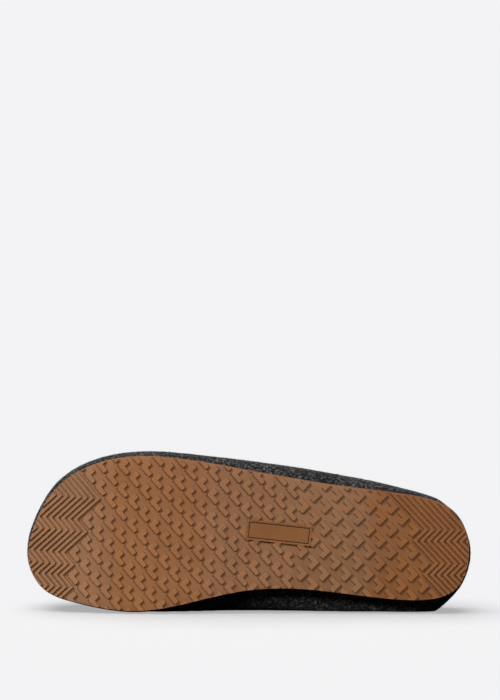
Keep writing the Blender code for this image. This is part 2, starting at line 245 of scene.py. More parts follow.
UPPER = (
    UpperSection(0, -2.5, 3, -3, 28, 0.33, 0.33, 0.33, 2.3),
    UpperSection(9, 21.3, 12.5, 17, 28, 0.33, 0.33, 0.33, 0.2),
    UpperSection(21, 29.2, 23.5, 26.2, 28.6, 0.33, 0.33, 0.33, 2.0),
    UpperSection(40, 33, 42, 31.5, 30, 0.33, 0.33, 0.33, 3.2),
    UpperSection(85, 37, 80, 34, 37, 0.35, 0.33, 0.33, 6.8),
    UpperSection(135, 43, 111, 29, 49, 0.42, 0.40, 0.35, 6.8),
    UpperSection(180, 48.5, 130, 20.5, 60, 0.45, 0.45, 0.32, 4.6),
    UpperSection(225, 45.5, 142, 10.5, 66.5, 0.48, 0.50, 0.28, 4.2),
    UpperSection(258, 27.5, 147, 3, 68.8, 0.55, 0.54, 0.25, 5.0),
    UpperSection(276.2, -18, 148.5, -4, 69.5, 0.60, 0.55, 0.25, 5.2),
    UpperSection(262, -41, 147, -11, 68.8, 0.60, 0.54, 0.25, 1.9),
    UpperSection(225, -48.8, 142, -18.5, 66.5, 0.58, 0.50, 0.28, 1.4),
    UpperSection(183, -45.5, 130, -29, 60, 0.52, 0.45, 0.32, 7.0),
    UpperSection(135, -32.8, 111, -38, 49, 0.42, 0.40, 0.35, 15.0),
    UpperSection(85, -31.4, 80, -40.5, 37, 0.35, 0.33, 0.33, 15.0),
    UpperSection(40, -34.2, 42, -38.5, 30, 0.33, 0.33, 0.33, 11.4),
    UpperSection(20, -32.3, 23, -33.5, 28.4, 0.33, 0.33, 0.33, 8.4),
    UpperSection(7.5, -25.8, 10.5, -25, 28, 0.33, 0.33, 0.33, 2.9),
)


class InsoleRoom(NamedTuple):
    along: float
    inner: float
    outer: float


# How much wider the insole is than its inset, where the upper leaves it room
INSOLE_ROOM = (
    InsoleRoom(0, 0.2, 0.2),
    InsoleRoom(8, 0.7, 0.2),
    InsoleRoom(16, 1.5, 0.3),
    InsoleRoom(30, 2.6, 1.6),
    InsoleRoom(50, 2.8, 1.7),
    InsoleRoom(132, 2.7, 1.6),
    InsoleRoom(150, 2.2, 1.2),
    InsoleRoom(170, 1.5, 0.9),
    InsoleRoom(185, 0.5, 0.7),
    InsoleRoom(200, 0, 0.6),
    InsoleRoom(276, 0, 0),
)


# What a user would change


def color_setting(name, description, default):
    return bpy.props.FloatVectorProperty(
        name=name, description=description, default=default, subtype="COLOR", min=0, max=1
    )


def direction_setting(name, description, default):
    return bpy.props.FloatVectorProperty(
        name=name, description=description, default=default, subtype="DIRECTION"
    )


def length_setting(name, description, default):
    return bpy.props.FloatProperty(name=name, description=description, default=default, unit="LENGTH")


def angle_setting(name, description, degrees):
    return bpy.props.FloatProperty(
        name=name,
        description=description,
        default=math.radians(degrees),
        subtype="ANGLE",
        unit="ROTATION",
    )


def share_setting(name, description, default):
    return bpy.props.FloatProperty(
        name=name, description=description, default=default, min=0, max=1, subtype="FACTOR"
    )


def strength_setting(name, description, default):
    return bpy.props.FloatProperty(name=name, description=description, default=default, min=0)


class OutsoleLooks(bpy.types.PropertyGroup):
    """Sizes and colours of the rubber outsole"""

    thick: length_setting("Thickness", "Height of the sole from the tread to its top edge", 0.007)
    lug_height: length_setting("Lug height", "How far the lugs stand out of the sole", 0.0012)
    lug_color: color_setting("Lug tone", "Rubber on top of the lugs", (0.160, 0.066, 0.024))
    # Painted shade: the ground between the lugs is darker than the lug tops.
    shaded_ground_color: color_setting("Ground tone", "Rubber between the lugs", (0.142, 0.058, 0.021))
    plate_color: color_setting(
        "Plate tone", "Rubber of the bare plate at the waist", (0.1205, 0.0445, 0.0095)
    )
    gloss: share_setting("Roughness", "Mean roughness of the moulded rubber", 0.64)


class FeltLooks(bpy.types.PropertyGroup):
    """Sizes and colours of the felt upper"""

    wall: length_setting("Wall", "Thickness of the felt", 0.0032)
    rim_round: length_setting("Rim rounding", "How far the cut edges of the felt are rounded", 0.0009)
    lumps: length_setting("Lumps", "Height of the soft unevenness of the felt", 0.00035)
    dark_color: color_setting("Dark wool", "Charcoal ground of the felt", (0.008, 0.008, 0.0084))
    light_color: color_setting("Light wool", "Pale fibres mixed into the felt", (0.172, 0.163, 0.156))
    fibre: bpy.props.FloatProperty(
        name="Fibres in a metre",
        description="How fine the mix of pale and dark fibres is",
        default=620.0,
    )
    fuzz_count: bpy.props.IntProperty(
        name="Loose fibres",
        description="Number of short fibres that stand out of the felt",
        default=9000,
        min=1,
    )
    fuzz_length: length_setting(
        "Loose fibre length", "Mean length of the fibres that stand out of the felt", 0.0016
    )


class InsoleLooks(bpy.types.PropertyGroup):
    """Sizes and colours of the insole"""

    thick: length_setting("Thickness", "Thickness of the insole", 0.0035)
    inset: length_setting("Inset", "How far the insole stays inside the sole's edge", 0.0049)
    dark_color: color_setting("Dark wool", "Ground of the insole felt", (0.045, 0.043, 0.041))
    light_color: color_setting("Light wool", "Pale fibres of the insole felt", (0.22, 0.215, 0.21))


class StageLooks(bpy.types.PropertyGroup):
    """Floor, light and camera"""

    floor_color: color_setting("Floor", "Colour of the pale floor", (0.46, 0.46, 0.467))
    glow: share_setting(
        "Floor glow", "Share of the floor's tone that shines from below and lightens the shadows", 0.45
    )
    backdrop: color_setting("Backdrop", "What the camera sees beyond the floor", (0.896, 0.896, 0.913))
    key: strength_setting(
        "Key light", "Strength of the soft light on the slipper from the upper left", 6.1
    )
    key_spread: angle_setting("Key softness", "Width of the key light as seen from the object", 24)
    key_from: direction_setting(
        "Key direction", "Direction from the slipper to the key light", (-0.57, -0.51, 0.71)
    )
    top: strength_setting("Top light", "Strength of the broad light on the floor from above", 3.25)
    top_spread: angle_setting("Top softness", "Width of the top light as seen from the object", 64)
    top_from: direction_setting(
        "Top direction", "Direction from the floor to the top light", (-0.27, 0.08, 1.0)
    )
    front: strength_setting(
        "Front light", "Strength of the broad light on the sole from the front", 2.55
    )
    front_from: direction_setting(
        "Front direction", "Direction from the slipper to the front light", (0.32, -0.75, 0.5)
    )
    back: strength_setting("Back light", "Strength of the soft light on the felt's far side", 2.4)
    back_from: direction_setting(
        "Back direction", "Direction from the slipper to the back light", (0.3, 0.95, 0.1)
    )
    fill: strength_setting("Fill light", "Strength of the even light from all round", 0.07)
    bounce: share_setting(
        "Floor bounce", "Share of the light that the floor throws back at the slipper", 0.1
    )
    distance: length_setting(
        "Camera distance", "Distance from the middle of the sole to the camera", 2.2
    )
    height_angle: angle_setting(
        "Camera height", "How far above level the camera looks at the sole from", 8.5
    )


# Curves of the shoe


def closed_spline(points, even=False):
    """A smooth closed curve through these points, as a function of the running point number."""
    p = np.array(points, dtype=float)
    n = len(p)
    after = np.roll(p, -1, axis=0) - p
    step = np.ones(n) if even else np.sqrt(np.linalg.norm(after, axis=1))
    slope = after / step[:, None]
    matrix = np.zeros((n, n))
    for i in range(n):
        matrix[i, i - 1] += step[i - 1]
        matrix[i, i] += 2 * (step[i - 1] + step[i])
        matrix[i, (i + 1) % n] += step[i]
    bend = np.linalg.solve(matrix, 6 * (slope - np.roll(slope, 1, axis=0)))

    def at(number):
        i = int(math.floor(number)) % n
        t = number - math.floor(number)
        j = (i + 1) % n
        cubic = ((1 - t) ** 3 - (1 - t)) * bend[i] + (t**3 - t) * bend[j]
        return (1 - t) * p[i] + t * p[j] + cubic * step[i] ** 2 / 6

    return at


def sole_edge():
    """The sole's top edge as even points, from the heel end round the outer side to the toe."""
    outer = [(s.along, s.outer) for s in SOLE]
    inner = [(s.along, -s.inner) for s in reversed(SOLE)]
    corners = [HEEL_END, *outer, TOE_END, *inner]
    curve = closed_spline(corners)
    steps = range(SPLINE_STEPS * len(corners) + 1)
    fine = np.array([curve(i / SPLINE_STEPS) for i in steps])
    length = np.concatenate([[0], np.cumsum(np.linalg.norm(np.diff(fine, axis=0), axis=1))])
    even = np.arange(EDGE_SAMPLES) / EDGE_SAMPLES * length[-1]
    return np.stack([np.interp(even, length, fine[:, i]) for i in (0, 1)], axis=1)


EDGE = sole_edge()
EDGE_TANGENT = np.roll(EDGE, -1, axis=0) - np.roll(EDGE, 1, axis=0)
EDGE_TANGENT /= np.linalg.norm(EDGE_TANGENT, axis=1)[:, None]
EDGE_OUT = np.stack([-EDGE_TANGENT[:, 1], EDGE_TANGENT[:, 0]], axis=1)


def edge_value(table, share):
    """A value of the sole edge at this share of its way round."""
    place = (share % 1.0) * len(table)
    i = int(place) % len(table)
    t = place - int(place)
    return table[i] * (1 - t) + table[(i + 1) % len(table)] * t


def inset_edge(share, inset):
    """The sole edge at this share of its way round, moved inward."""
    return edge_value(EDGE, share) - inset * edge_value(EDGE_OUT, share)


def flare(share):
    """How far the side wall leans out at this share of the way round the sole."""
    inner_side = max(-float(edge_value(EDGE_OUT, share)[1]), 0.0)
    return FLARE + (INNER_FLARE - FLARE) * inner_side


def insole_room(share):
    """How much wider the insole is at this share of the way round the sole."""
    along = float(edge_value(EDGE, share)[0])
    places, inner, outer = zip(*INSOLE_ROOM)
    on_inner_side = edge_value(EDGE_OUT, share)[1] < 0
    return float(np.interp(along, places, inner if on_inner_side else outer))


def waist_lift(along):
    """How far the waist stands up above the flat of heel and ball."""
    if not WAIST_FROM < along < WAIST_TO:
        return 0.0
    share = (along - WAIST_FROM) / (WAIST_TO - WAIST_FROM)
    return WAIST_LIFT * (1 - math.cos(2 * math.pi * share)) / 2


def bent(along, across, height):
    """A point of the flat sole after the waist is arched and the toe curled up."""
    if along <= SPRING_FROM:
        return Vector((along, across, height + waist_lift(along)))
    angle = (along - SPRING_FROM) / SPRING_RADIUS
    radius = SPRING_RADIUS - height
    ahead, above = radius * math.sin(angle), radius * math.cos(angle)
    return Vector((SPRING_FROM + ahead, across, SPRING_RADIUS - above))


def lying():
    """The turn onto the floor as a matrix, with the floor's upward direction in the shoe's frame."""
    lean = -math.tan(math.radians(LIE_LEAN_DEG))
    up = Vector((math.tan(math.radians(LIE_TURN_DEG)), 1, lean)).normalized()
    toe = Vector((1, 0, 0))
    toe = (toe - toe.dot(up) * up).normalized()
    turn = Matrix((-toe, up.cross(-toe), up)).to_4x4()
    return Matrix.Translation(LIE_MOVE) @ turn, up


LIE, FLOOR_UP = lying()
FLOOR_AT = -LIE_MOVE[2] / MM


def turned(point, degrees):
    """A point of the plan, turned about the origin."""
    angle = math.radians(degrees)
    c, s = math.cos(angle), math.sin(angle)
    return np.array([c * point[0] - s * point[1], s * point[0] + c * point[1]])


class Lattice:
    """The slanted grid that the lugs stand on, with its right side towards the heel."""

    def __init__(self, tip, right_step, left_step):
        self.tip = np.array(tip)
        self.right_step = np.array(right_step)
        self.left_step = np.array(left_step)
        self.right = self.right_step / np.linalg.norm(self.right_step)
        self.left = self.left_step / np.linalg.norm(self.left_step)
        between = self.left - self.right
        self.forward = between / np.linalg.norm(between)

    def at(self, right, left):
        return self.tip + right * self.right_step + left * self.left_step


FORE = Lattice(FORE_TIP, FORE_RIGHT, FORE_LEFT)
HEEL = Lattice(HEEL_TIP, HEEL_RIGHT, HEEL_LEFT)
# Zig-zag lines that end the lugs, as grid steps to the right and to the left
TOE_LINE_START = (-7, 5)
TOE_LINE = ((5, 0), (0, 2), (1, 0), (0, 2), (1, 0), (0, 1), (1, 0), (0, 4))
HEEL_LINE_START = (-5, 0)
HEEL_LINE = ((5, 0), (0, 1), (2, 0), (0, 1), (4, 0))


def zigzag(lattice, start, steps, forward_gap):
    """The corners of a zig-zag line on the grid."""
    right, left = start
    corners = [lattice.at(right, left)]
    for step_right, step_left in steps:
        right += step_right
        left += step_left
        corners.append(lattice.at(right, left))
    return [c + forward_gap * lattice.forward for c in corners]


TOE_ZIGZAG = zigzag(FORE, TOE_LINE_START, TOE_LINE, TOE_RIB_GAP)
HEEL_ZIGZAG = zigzag(HEEL, HEEL_LINE_START, HEEL_LINE, -HEEL_RIB_GAP)


def line_along(corners, across):
    """How far along a zig-zag line lies at this distance across."""
    order = sorted(corners, key=lambda c: c[1])
    return float(np.interp(across, [c[1] for c in order], [c[0] for c in order]))


def near_sole(point):
    """Whether a lug with this middle can reach the sole."""
    after = np.roll(EDGE, -1, axis=0)
    crosses = (EDGE[:, 1] > point[1]) != (after[:, 1] > point[1])
    share = (point[1] - EDGE[:, 1]) / (after[:, 1] - EDGE[:, 1] + 1e-12)
    right_of = EDGE[:, 0] + share * (after[:, 0] - EDGE[:, 0]) > point[0]
    nearest = min(np.linalg.norm(EDGE - point, axis=1))
    return nearest < LUG_REACH or bool(np.sum(crosses & right_of) % 2)


def lug_tips(lattice, line, way):
    """Outer corners of the lugs; the way is 1 for the forefoot, to the toe, and -1 for the heel."""
    for right in range(-GRID_REACH, GRID_REACH + 1):
        for left in range(-GRID_REACH, GRID_REACH + 1):
            tip = lattice.at(right, left)
            middle = tip - way * LUG_MIDDLE * lattice.forward
            ahead = way * (line_along(line, tip[1]) - tip[0])
            in_place = way * (middle[0] - FORE_FROM) > 0
            if in_place and ahead > LUG_TO_RIB and near_sole(middle):
                yield tip


def angle_lug(tip, long_dir, short_dir, long_leg, short_leg, width):
    """The six corners of an angle lug; the fourth is the inner one."""
    long_end = ((long_leg, 0), (long_leg, width))
    short_end = ((width, short_leg), (0, short_leg))
    spots = ((0, 0), *long_end, (width, width), *short_end)
    return [tip + a * long_dir + b * short_dir for a, b in spots]


def rib_outlines():
    """The zig-zag ribs at the toe and at the heel."""
    for line, lattice, sign in ((TOE_ZIGZAG, FORE, 1), (HEEL_ZIGZAG, HEEL, -1)):
        for number in range(RIB_COUNT):
            near = sign * number * RIB_PITCH * lattice.forward
            far = near + sign * RIB_WIDTH * lattice.forward
            yield [c + near for c in line] + [c + far for c in reversed(line)]


def moat_outlines():
    """The moats beside the long legs of the forefoot lugs and in front of the first heel rib."""
    first, last = -MOAT_BEFORE, FORE_LONG_LEG + MOAT_AFTER
    spots = ((first, -MOAT_WIDE), (last, -MOAT_WIDE), (last, MOAT_UNDER), (first, MOAT_UNDER))
    for tip in lug_tips(FORE, TOE_ZIGZAG, 1):
        yield [tip + p * FORE.right - q * FORE.left for p, q in spots]
    ahead = [c + HEEL_MOAT_WIDE * HEEL.forward for c in HEEL_ZIGZAG]
    yield ahead + [c - MOAT_UNDER * HEEL.forward for c in reversed(HEEL_ZIGZAG)]


def plate_outline(grow):
    """The four corners of the plate, moved outward."""
    half_length, half_width = PLATE_LENGTH / 2 + grow, PLATE_WIDTH / 2 + grow
    for a, b in ((1, 1), (-1, 1), (-1, -1), (1, -1)):
        yield np.array(PLATE_AT) + turned((a * half_length, b * half_width), PLATE_TURN_DEG)


# Mesh tools


def is_blunt(outline, number):
    """Whether a corner of a plan is wide enough to be rounded."""
    here, after = outline[number], outline[(number + 1) % len(outline)]
    return (outline[number - 1] - here).dot(after - here) < SQUARE_SLACK


def blocks(outlines, low, high, corner_round=0.0, sharp_corner=None, edge_steps=()):
    """Upright blocks on plan outlines, with rounded corners and their ground faces raised in steps."""
    bm = bmesh.new()
    round_these = []
    for outline in outlines:
        corners = [bm.verts.new(Vector((c[0], c[1], low)) * MM) for c in outline]
        sides = [bm.edges.new((a, b)) for a, b in zip(corners, corners[1:] + corners[:1])]
        bmesh.ops.edgeloop_fill(bm, edges=sides)
        blunt = [i != sharp_corner and is_blunt(outline, i) for i in range(len(outline))]
        round_these += [v for v, is_round in zip(corners, blunt) if is_round]
    if corner_round:
        bmesh.ops.bevel(
            bm,
            geom=round_these,
            offset=corner_round * MM,
            affect="VERTICES",
            segments=3,
            profile=0.5,
            material=-1,
        )
    lifted = bmesh.ops.extrude_face_region(bm, geom=bm.faces[:], use_keep_orig=True)
    top = [v for v in lifted["geom"] if isinstance(v, bmesh.types.BMVert)]
    bmesh.ops.translate(bm, verts=top, vec=Vector((0, 0, high - low)) * MM)
    bmesh.ops.recalc_face_normals(bm, faces=bm.faces)
    faces = [f for f in bm.faces if f.normal.z < -0.99]
    for inset, rise in edge_steps:
        bmesh.ops.inset_region(
            bm,
            faces=faces,
            thickness=inset * MM,
            depth=rise * MM,
            use_boundary=True,
            use_even_offset=True,
        )
    return bm


def loft(place, around, up):
    """A tube of quads whose points come from a function of the share round it and the share up it."""
    bm = bmesh.new()
    bmesh.ops.create_grid(bm, x_segments=around, y_segments=up, size=0.5)
    for v in bm.verts:
        v.co = place(v.co.x + 0.5, v.co.y + 0.5) * MM
    bmesh.ops.remove_doubles(bm, verts=bm.verts, dist=1e-6)
    bmesh.ops.recalc_face_normals(bm, faces=bm.faces)
    return bm


def slab(bottom, top, lean_at=flare):
    """A plate with the sole's outline; bottom and top are (share of the lean, inset, height)."""

    def place(share, up):
        lean, inset, height = top if up > 0.5 else bottom
        at = inset_edge(share, inset + lean * lean_at(share))
        return Vector((at[0], at[1], height))

    bm = loft(place, EDGE_POINTS, 1)
    bmesh.ops.holes_fill(bm, edges=[e for e in bm.edges if e.is_boundary], sides=0)
    bmesh.ops.recalc_face_normals(bm, faces=bm.faces)
    return bm


def round_rims(bm, low_round, high_round):
    """Rounds the lower and the upper rim of a slab."""
    caps = [f for f in bm.faces if len(f.verts) > 4]
    caps.sort(key=lambda f: f.calc_center_median().z)
    for cap, size in ((caps[0], low_round), (caps[-1], high_round)):
        bmesh.ops.bevel(
            bm,
            geom=list(cap.edges),
            offset=size * MM,
            affect="EDGES",
            segments=3,
            profile=0.5,
            material=-1,
        )


def slice_strips(bm, first, last):
    """Cuts a flat shape across, so that it can be bent."""
    for along in np.arange(first, last, STRIP):
        geometry = [*bm.verts, *bm.edges, *bm.faces]
        bmesh.ops.bisect_plane(
            bm,
            geom=geometry,
            dist=1e-7,
            plane_co=Vector((along, 0, 0)) * MM,
            plane_no=(1, 0, 0),
        )


def combined(bm, changes):
    """The shape after other shapes are cut from it or limit it; all of them are used up."""
    holder = []
    for number, shape in enumerate((bm, *(tool for tool, _ in changes))):
        mesh = bpy.data.meshes.new(f"making_{number}")
        shape.to_mesh(mesh)
        shape.free()
        holder.append(bpy.data.objects.new(mesh.name, mesh))
        bpy.context.scene.collection.objects.link(holder[-1])
    for tool, (_, operation) in zip(holder[1:], changes):
        change = holder[0].modifiers.new(operation, "BOOLEAN")
        change.operation = operation
        change.solver = "EXACT"
        change.object = tool
    depsgraph = bpy.context.evaluated_depsgraph_get()
    made = bmesh.new()
    made.from_mesh(holder[0].evaluated_get(depsgraph).to_mesh())
    holder[0].evaluated_get(depsgraph).to_mesh_clear()
    for thing in holder:
        mesh = thing.data
        bpy.data.objects.remove(thing)
        bpy.data.meshes.remove(mesh)
    if not made.faces:
        raise RuntimeError("cutting the shapes left nothing")
    return made


def gather(shapes):
    """Puts shapes into one; they are used up."""
    mesh = bpy.data.meshes.new("making_whole")
    whole = bmesh.new()
    for shape in shapes:
        shape.to_mesh(mesh)
        shape.free()
        whole.from_mesh(mesh)
    bpy.data.meshes.remove(mesh)
    return whole


def on_plate(point, room):
    """Whether a point of the plan is on the plate or this near it."""
    spot = turned((point[0] - PLATE_AT[0], point[1] - PLATE_AT[1]), -PLATE_TURN_DEG)
    return abs(spot[0]) < PLATE_LENGTH / 2 + room and abs(spot[1]) < PLATE_WIDTH / 2 + room


def is_whole(outline):
    """Whether a shape of the tread stays clear of the sole's border and of the plate."""
    for corner in outline:
        nearest = int(np.argmin(np.linalg.norm(EDGE - corner, axis=1)))
        outward = (corner - EDGE[nearest]).dot(EDGE_OUT[nearest])
        if outward > -(INNER_FLARE + BORDER + BORDER_ROOM) or on_plate(corner, PLATE_ROOM):
            return False
    return True


def tread_blocks(outlines, low, high, **finish):
    """Blocks of the tread, trimmed where they meet the sole's border or the plate."""
    outlines = list(outlines)
    whole = [o for o in outlines if is_whole(o)]
    cut = [o for o in outlines if not is_whole(o)]
    limit = slab((1, BORDER, -CUT_SPARE), (1, BORDER, high + CUT_SPARE))
    hole = blocks([list(plate_outline(-PLATE_OVERLAP))], -CUT_SPARE, high + CUT_SPARE)
    changes = [(limit, "INTERSECT"), (hole, "DIFFERENCE")]
    trimmed = combined(blocks(cut, low, high, **finish), changes)
    return gather([trimmed, blocks(whole, low, high, **finish)] if whole else [trimmed])


def lay_down(bm):
    """Bends a flat shape as the sole is bent, and turns it onto the floor."""
    for v in bm.verts:
        v.co = bent(*(v.co / MM)) * MM
    bmesh.ops.transform(bm, matrix=LIE, verts=bm.verts)


def shade(bm, limit_deg):
    """Smooth shading with sharp edges over an angle."""
    limit = math.radians(limit_deg)
    for f in bm.faces:
        f.smooth = True
    for e in bm.edges:
        e.smooth = e.calc_face_angle(0.0) < limit


def settle(bm, name, node, material):
    """Makes a finished piece of a shape that lies in place, and ties it to the frame."""
    if not bm.faces:
        raise RuntimeError(f"{name} has no faces")
    mesh = bpy.data.meshes.new(name)
    bm.to_mesh(mesh)
    bm.free()
    made = bpy.data.objects.new(name, mesh)
    bpy.context.scene.collection.objects.link(made)
    mesh.materials.append(material)
    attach(made, "root")
    if node:
        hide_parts(node)
    return made


# Finishes


def add(tree, kind, **values):
    """A node with its settings and the values of its sockets."""
    made = tree.nodes.new(kind)
    for key, value in values.items():
        if hasattr(made, key):
            setattr(made, key, value)
        else:
            made.inputs[key].default_value = value
    return made


def group(name, inputs, outputs):
    """An empty shader group with its sockets, and its inner input and output nodes."""
    tree = bpy.data.node_groups.new(name, "ShaderNodeTree")
    for label, kind in inputs:
        tree.interface.new_socket(name=label, in_out="INPUT", socket_type=kind)
    for label, kind in outputs:
        tree.interface.new_socket(name=label, in_out="OUTPUT", socket_type=kind)
    return tree, add(tree, "NodeGroupInput"), add(tree, "NodeGroupOutput")


def math_node(tree, operation, first, second):
    """A sum, a product or the like of two values, each a number or a socket."""
    made = add(tree, "ShaderNodeMath", operation=operation)
    for socket, value in zip(made.inputs, (first, second)):
        if isinstance(value, (int, float)):
            socket.default_value = value
        else:
            tree.links.new(value, socket)
    return made.outputs[0]


def span(tree, value, low, high, new_low=0.0, new_high=1.0):
    """A value brought smoothly from one range to another."""
    made = add(tree, "ShaderNodeMapRange", interpolation_type="SMOOTHSTEP")
    limits = {"From Min": low, "From Max": high, "To Min": new_low, "To Max": new_high}
    for label, number in limits.items():
        made.inputs[label].default_value = number
    tree.links.new(value, made.inputs["Value"])
    return made.outputs["Result"]


def mix_color(tree, factor, first, second, blend="MIX"):
    """Two colours mixed by a factor; each of the three is a value or a socket."""
    made = add(tree, "ShaderNodeMix", data_type="RGBA", blend_type=blend)
    sockets = (made.inputs[0], made.inputs[6], made.inputs[7])
    for socket, value in zip(sockets, (factor, first, second)):
        if isinstance(value, (int, float)):
            socket.default_value = value
        elif isinstance(value, bpy.types.NodeSocket):
            tree.links.new(value, socket)
        else:
            socket.default_value = (*value, 1.0)
    return made.outputs[2]


def toned(tree, color, factor):
    """A colour made lighter or darker by a factor."""
    grey = add(tree, "ShaderNodeCombineColor")
    for socket in grey.inputs:
        tree.links.new(factor, socket)
    return mix_color(tree, 1.0, color, grey.outputs[0], "MULTIPLY")


def noise_tone(tree, where, scale, detail, roughness):
    """The tone of a noise at these coordinates."""
    made = add(tree, "ShaderNodeTexNoise", Detail=detail, Roughness=roughness)
    tree.links.new(where, made.inputs["Vector"])
    tree.links.new(scale, made.inputs["Scale"])
    return made.outputs["Fac"]


# Ways that the crossing fibres lie, in radians, and how long they are drawn out
WOOL_TURNS = ((0.3, 0.2, 0.1), (1.2, 0.4, 0.9), (0.5, 1.3, 2.1), (2.2, 0.8, 1.5))
WOOL_STRETCH = (0.28, 1.0, 1.0)
FELT_SHEEN = 0.06


def wool_mix():
    """Shader group: crossing fibres of two kinds of wool, and the slow unevenness of felt."""
    if "wool_mix" in bpy.data.node_groups:
        return bpy.data.node_groups["wool_mix"]
    tree, start, end = group(
        "wool_mix",
        (("Vector", "NodeSocketVector"), ("Fibres", "NodeSocketFloat")),
        (("Pale", "NodeSocketFloat"), ("Mottle", "NodeSocketFloat"), ("Height", "NodeSocketFloat")),
    )
    where, fibres = start.outputs["Vector"], start.outputs["Fibres"]
    fine = math_node(tree, "MULTIPLY", fibres, 2.2)
    coarse = math_node(tree, "MULTIPLY", fibres, 0.12)
    strands = None
    for turn in WOOL_TURNS:
        lay = add(tree, "ShaderNodeMapping", Rotation=turn, Scale=WOOL_STRETCH)
        tree.links.new(where, lay.inputs["Vector"])
        strand = noise_tone(tree, lay.outputs["Vector"], fine, 2.0, 0.55)
        thin = span(tree, strand, 0.46, 0.78)
        strands = thin if strands is None else math_node(tree, "MAXIMUM", strands, thin)
    clumps = noise_tone(tree, where, fibres, 3.0, 0.6)
    slow = noise_tone(tree, where, coarse, 2.0, 0.5)
    pale = math_node(tree, "MULTIPLY", strands, span(tree, clumps, 0.42, 0.66))
    tree.links.new(pale, end.inputs["Pale"])
    tree.links.new(span(tree, slow, 0.3, 0.7), end.inputs["Mottle"])
    mixed = math_node(tree, "ADD", strands, math_node(tree, "MULTIPLY", clumps, 0.8))
    tree.links.new(mixed, end.inputs["Height"])
    return tree


def moulded_grain():
    """Shader group: the fine grain that a mould leaves, and slow changes of tone."""
    if "moulded_grain" in bpy.data.node_groups:
        return bpy.data.node_groups["moulded_grain"]
    tree, start, end = group(
        "moulded_grain",
        (("Vector", "NodeSocketVector"), ("Grains", "NodeSocketFloat")),
        (("Grain", "NodeSocketFloat"), ("Tone", "NodeSocketFloat")),
    )
    where, grains = start.outputs["Vector"], start.outputs["Grains"]
    coarse = math_node(tree, "MULTIPLY", grains, 0.02)
    tree.links.new(noise_tone(tree, where, grains, 3.0, 0.65), end.inputs["Grain"])
    tree.links.new(noise_tone(tree, where, coarse, 2.0, 0.5), end.inputs["Tone"])
    return tree


def bare_material(name):
    """A material with its tree, its shader and Object coordinates."""
    made = bpy.data.materials.new(name)
    made.use_nodes = True
    tree = made.node_tree
    where = add(tree, "ShaderNodeTexCoord")
    return made, tree, tree.nodes["Principled BSDF"], where.outputs["Object"]


def use_group(tree, shared, where, label, value):
    """The outputs of a shared group, given coordinates and one value."""
    made = add(tree, "ShaderNodeGroup", node_tree=shared)
    tree.links.new(where, made.inputs["Vector"])
    made.inputs[label].default_value = value
    return made.outputs


def add_bump(tree, shader, height, strength, distance):
    """Fine relief on a shader."""
    bump = add(tree, "ShaderNodeBump", Strength=strength, Distance=distance)
    tree.links.new(height, bump.inputs["Height"])
    tree.links.new(bump.outputs["Normal"], shader.inputs["Normal"])


class ReflectionTint(NamedTuple):
    """The tint of a painted reflection on the rubber at a place along the floor, from the toe on the
    left to the heel.
    """

    place: float
    color: tuple


# Painted reflection: the rubber is whiter and bluer at the toe and the middle, where it reflected the
# soft light, and darker and more orange at the heel.
REFLECTION_TINTS = (
    ReflectionTint(-0.100, (1.05, 1.16, 1.36)),
    ReflectionTint(-0.080, (1.06, 1.02, 0.86)),
    ReflectionTint(-0.034, (1.04, 1.00, 0.87)),
    ReflectionTint(-0.018, (1.02, 1.06, 1.16)),
    ReflectionTint(0.068, (0.91, 0.98, 1.04)),
    ReflectionTint(0.082, (0.85, 0.74, 0.48)),
)
TINT_REACH = 0.14  # the colour ramp covers this far to each side
TINT_SCALE = 2.0  # a ramp holds nothing over 1, so its tints are divided by this
RUBBER_GRAINS = 3200.0


